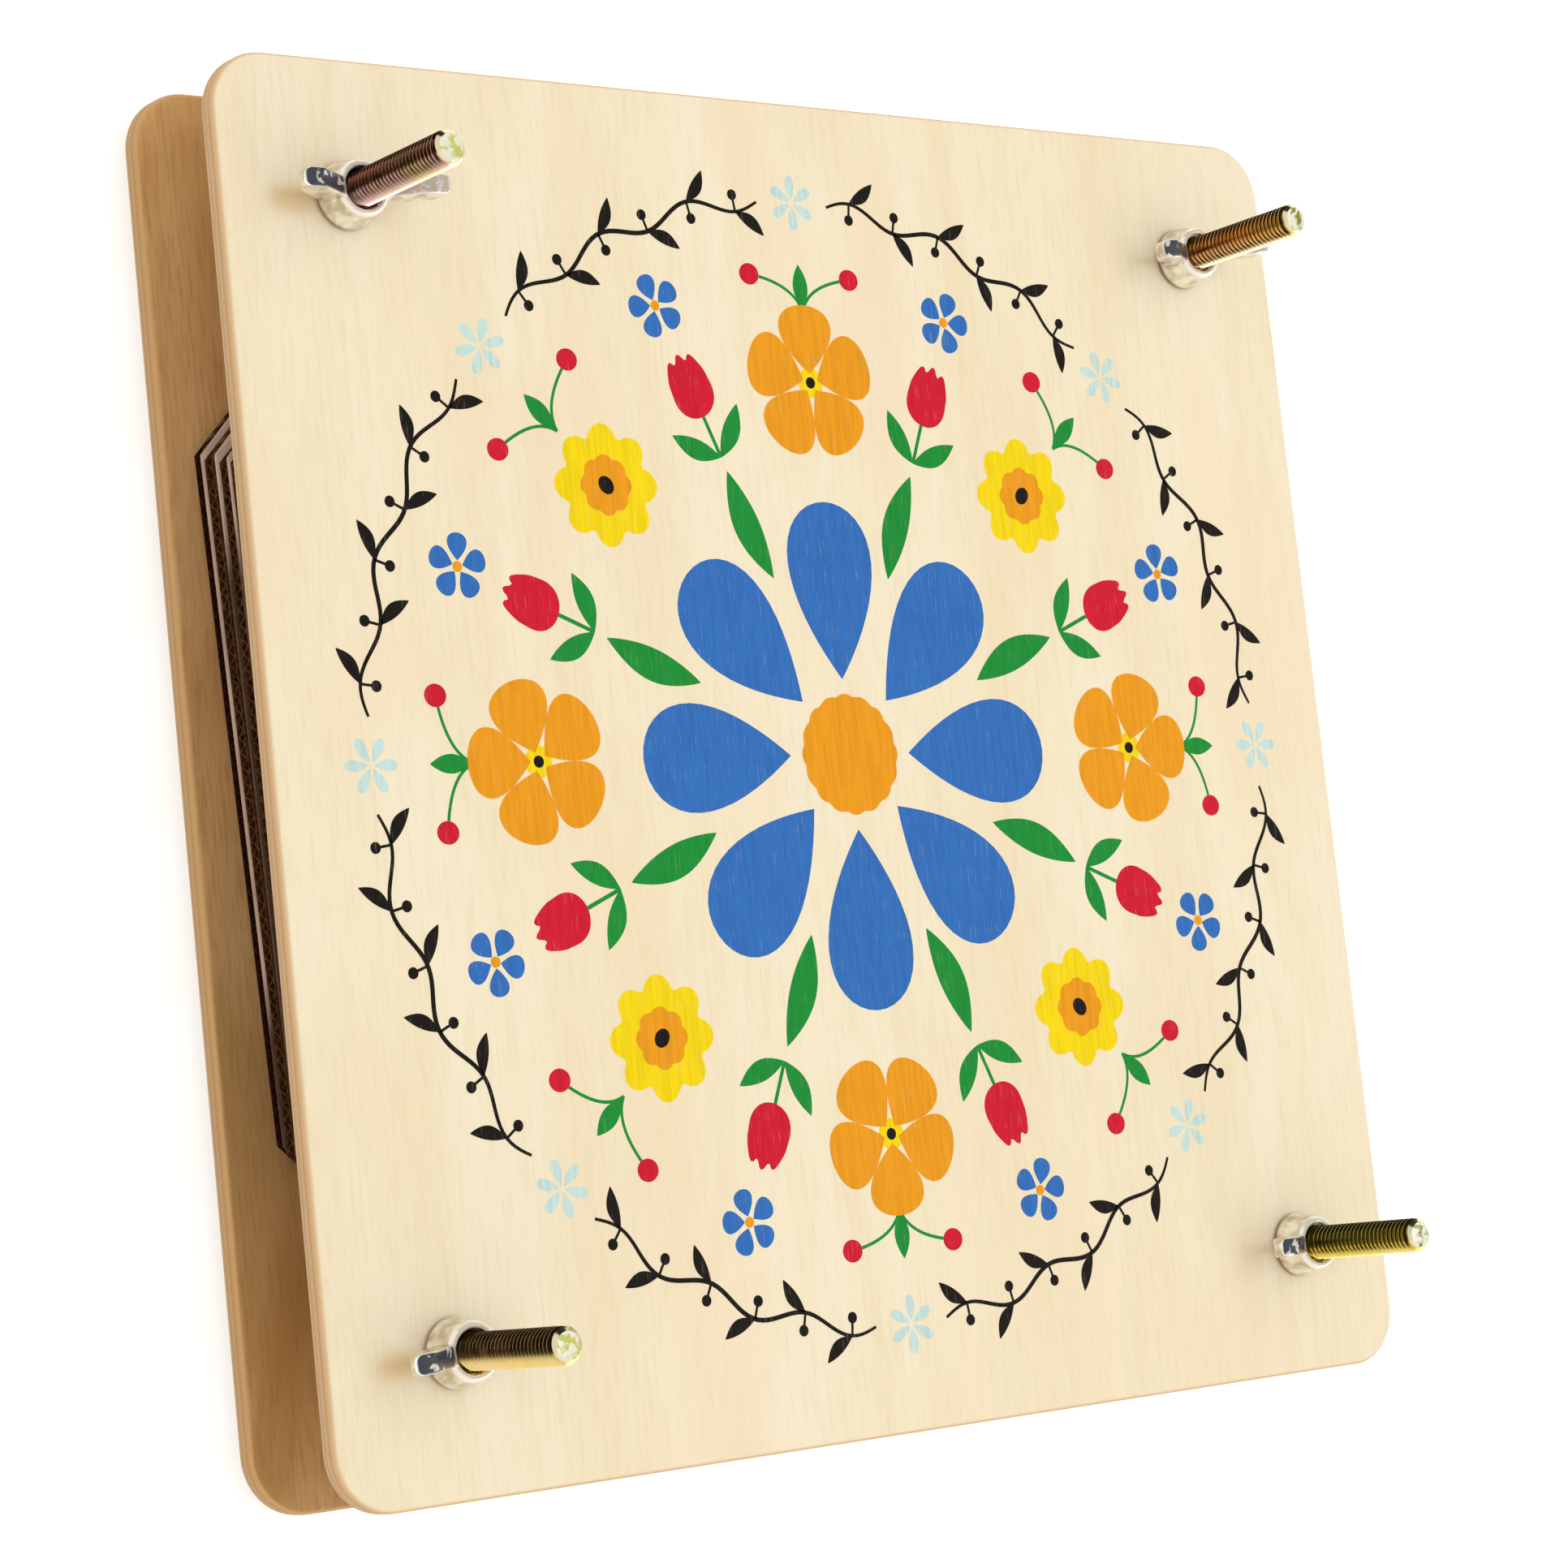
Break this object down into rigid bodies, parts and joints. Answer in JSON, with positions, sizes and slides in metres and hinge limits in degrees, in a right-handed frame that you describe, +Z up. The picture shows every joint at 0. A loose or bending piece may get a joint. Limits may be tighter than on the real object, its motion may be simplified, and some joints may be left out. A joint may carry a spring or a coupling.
{
  "type": "flower press",
  "caption": "Square plywood press for flowers: boards drawn together by bolts and wing nuts over corrugated cards and blotting papers.",
  "frame": {"origin": "middle of the boards, on the surface that the bolt heads lie on", "axes": "+Z up, out of the printed front board along the bolts, +Y towards the top of the print, +X to the right as the print is seen"},
  "size_m": [0.23, 0.23, 0.0635],
  "materials": {
    "birch_plywood": "sanded, unvarnished, with printed ink on the front",
    "yellow_zinc": "zinc with yellow passivation",
    "bright_zinc": "bright zinc",
    "kraft_card": "matt",
    "blotting_paper": "matt, absorbent"
  },
  "bodies": {
    "press_base": {"back_board": "birch_plywood", "bolt_top_left": "yellow_zinc", "bolt_top_right": "yellow_zinc", "bolt_bottom_right": "yellow_zinc", "bolt_bottom_left": "yellow_zinc"},
    "front_board": {"front_board": "birch_plywood"},
    "nut_top_left": {"wing_nut_top_left": "bright_zinc"},
    "nut_top_right": {"wing_nut_top_right": "bright_zinc"},
    "nut_bottom_right": {"wing_nut_bottom_right": "bright_zinc"},
    "nut_bottom_left": {"wing_nut_bottom_left": "bright_zinc"},
    "card_1": {"card_1": "kraft_card"},
    "blotter_1": {"blotter_1": "blotting_paper"},
    "blotter_2": {"blotter_2": "blotting_paper"},
    "card_2": {"card_2": "kraft_card"},
    "blotter_3": {"blotter_3": "blotting_paper"},
    "blotter_4": {"blotter_4": "blotting_paper"},
    "card_3": {"card_3": "kraft_card"},
    "blotter_5": {"blotter_5": "blotting_paper"},
    "blotter_6": {"blotter_6": "blotting_paper"},
    "card_4": {"card_4": "kraft_card"},
    "blotter_7": {"blotter_7": "blotting_paper"},
    "blotter_8": {"blotter_8": "blotting_paper"},
    "card_5": {"card_5": "kraft_card"},
    "blotter_9": {"blotter_9": "blotting_paper"},
    "blotter_10": {"blotter_10": "blotting_paper"},
    "card_6": {"card_6": "kraft_card"}
  },
  "joints": [
    {"name": "press_opening", "type": "slide", "parent": "press_base", "child": "front_board", "axis": [0, 0, 1], "range_m": [0, 0.024]},
    {"name": "nut_top_left_turn", "type": "hinge", "parent": "front_board", "child": "nut_top_left", "pos_m": [-0.092, 0.092, 0.03224], "axis": [0, 0, 1], "range_deg": [0, 8641]},
    {"name": "nut_top_right_turn", "type": "hinge", "parent": "front_board", "child": "nut_top_right", "pos_m": [0.092, 0.092, 0.03224], "axis": [0, 0, 1], "range_deg": [0, 8641]},
    {"name": "nut_bottom_right_turn", "type": "hinge", "parent": "front_board", "child": "nut_bottom_right", "pos_m": [0.092, -0.092, 0.03224], "axis": [0, 0, 1], "range_deg": [0, 8641]},
    {"name": "nut_bottom_left_turn", "type": "hinge", "parent": "front_board", "child": "nut_bottom_left", "pos_m": [-0.092, -0.092, 0.03224], "axis": [0, 0, 1], "range_deg": [0, 8641]},
    {"name": "card_1_slide", "type": "slide", "parent": "press_base", "child": "card_1", "axis": [0, 0, 1], "range_m": [0, 0.024]},
    {"name": "blotter_1_slide", "type": "slide", "parent": "press_base", "child": "blotter_1", "axis": [0, 0, 1], "range_m": [0, 0.024]},
    {"name": "blotter_2_slide", "type": "slide", "parent": "press_base", "child": "blotter_2", "axis": [0, 0, 1], "range_m": [0, 0.024]},
    {"name": "card_2_slide", "type": "slide", "parent": "press_base", "child": "card_2", "axis": [0, 0, 1], "range_m": [0, 0.024]},
    {"name": "blotter_3_slide", "type": "slide", "parent": "press_base", "child": "blotter_3", "axis": [0, 0, 1], "range_m": [0, 0.024]},
    {"name": "blotter_4_slide", "type": "slide", "parent": "press_base", "child": "blotter_4", "axis": [0, 0, 1], "range_m": [0, 0.024]},
    {"name": "card_3_slide", "type": "slide", "parent": "press_base", "child": "card_3", "axis": [0, 0, 1], "range_m": [0, 0.024]},
    {"name": "blotter_5_slide", "type": "slide", "parent": "press_base", "child": "blotter_5", "axis": [0, 0, 1], "range_m": [0, 0.024]},
    {"name": "blotter_6_slide", "type": "slide", "parent": "press_base", "child": "blotter_6", "axis": [0, 0, 1], "range_m": [0, 0.024]},
    {"name": "card_4_slide", "type": "slide", "parent": "press_base", "child": "card_4", "axis": [0, 0, 1], "range_m": [0, 0.024]},
    {"name": "blotter_7_slide", "type": "slide", "parent": "press_base", "child": "blotter_7", "axis": [0, 0, 1], "range_m": [0, 0.024]},
    {"name": "blotter_8_slide", "type": "slide", "parent": "press_base", "child": "blotter_8", "axis": [0, 0, 1], "range_m": [0, 0.024]},
    {"name": "card_5_slide", "type": "slide", "parent": "press_base", "child": "card_5", "axis": [0, 0, 1], "range_m": [0, 0.024]},
    {"name": "blotter_9_slide", "type": "slide", "parent": "press_base", "child": "blotter_9", "axis": [0, 0, 1], "range_m": [0, 0.024]},
    {"name": "blotter_10_slide", "type": "slide", "parent": "press_base", "child": "blotter_10", "axis": [0, 0, 1], "range_m": [0, 0.024]},
    {"name": "card_6_slide", "type": "slide", "parent": "press_base", "child": "card_6", "axis": [0, 0, 1], "range_m": [0, 0.024]}
  ],
  "couplings": [
    {"joint": "nut_top_left_turn", "follows": "press_opening", "rad_per_m": 6283.2},
    {"joint": "nut_top_right_turn", "follows": "press_opening", "rad_per_m": 6283.2},
    {"joint": "nut_bottom_right_turn", "follows": "press_opening", "rad_per_m": 6283.2},
    {"joint": "nut_bottom_left_turn", "follows": "press_opening", "rad_per_m": 6283.2},
    {"joint": "card_1_slide", "follows": "press_opening", "ratio": 0.058824},
    {"joint": "blotter_1_slide", "follows": "press_opening", "ratio": 0.11765},
    {"joint": "blotter_2_slide", "follows": "press_opening", "ratio": 0.17647},
    {"joint": "card_2_slide", "follows": "press_opening", "ratio": 0.23529},
    {"joint": "blotter_3_slide", "follows": "press_opening", "ratio": 0.29412},
    {"joint": "blotter_4_slide", "follows": "press_opening", "ratio": 0.35294},
    {"joint": "card_3_slide", "follows": "press_opening", "ratio": 0.41176},
    {"joint": "blotter_5_slide", "follows": "press_opening", "ratio": 0.47059},
    {"joint": "blotter_6_slide", "follows": "press_opening", "ratio": 0.52941},
    {"joint": "card_4_slide", "follows": "press_opening", "ratio": 0.58823},
    {"joint": "blotter_7_slide", "follows": "press_opening", "ratio": 0.64706},
    {"joint": "blotter_8_slide", "follows": "press_opening", "ratio": 0.70588},
    {"joint": "card_5_slide", "follows": "press_opening", "ratio": 0.76471},
    {"joint": "blotter_9_slide", "follows": "press_opening", "ratio": 0.82353},
    {"joint": "blotter_10_slide", "follows": "press_opening", "ratio": 0.88235},
    {"joint": "card_6_slide", "follows": "press_opening", "ratio": 0.94118}
  ]
}
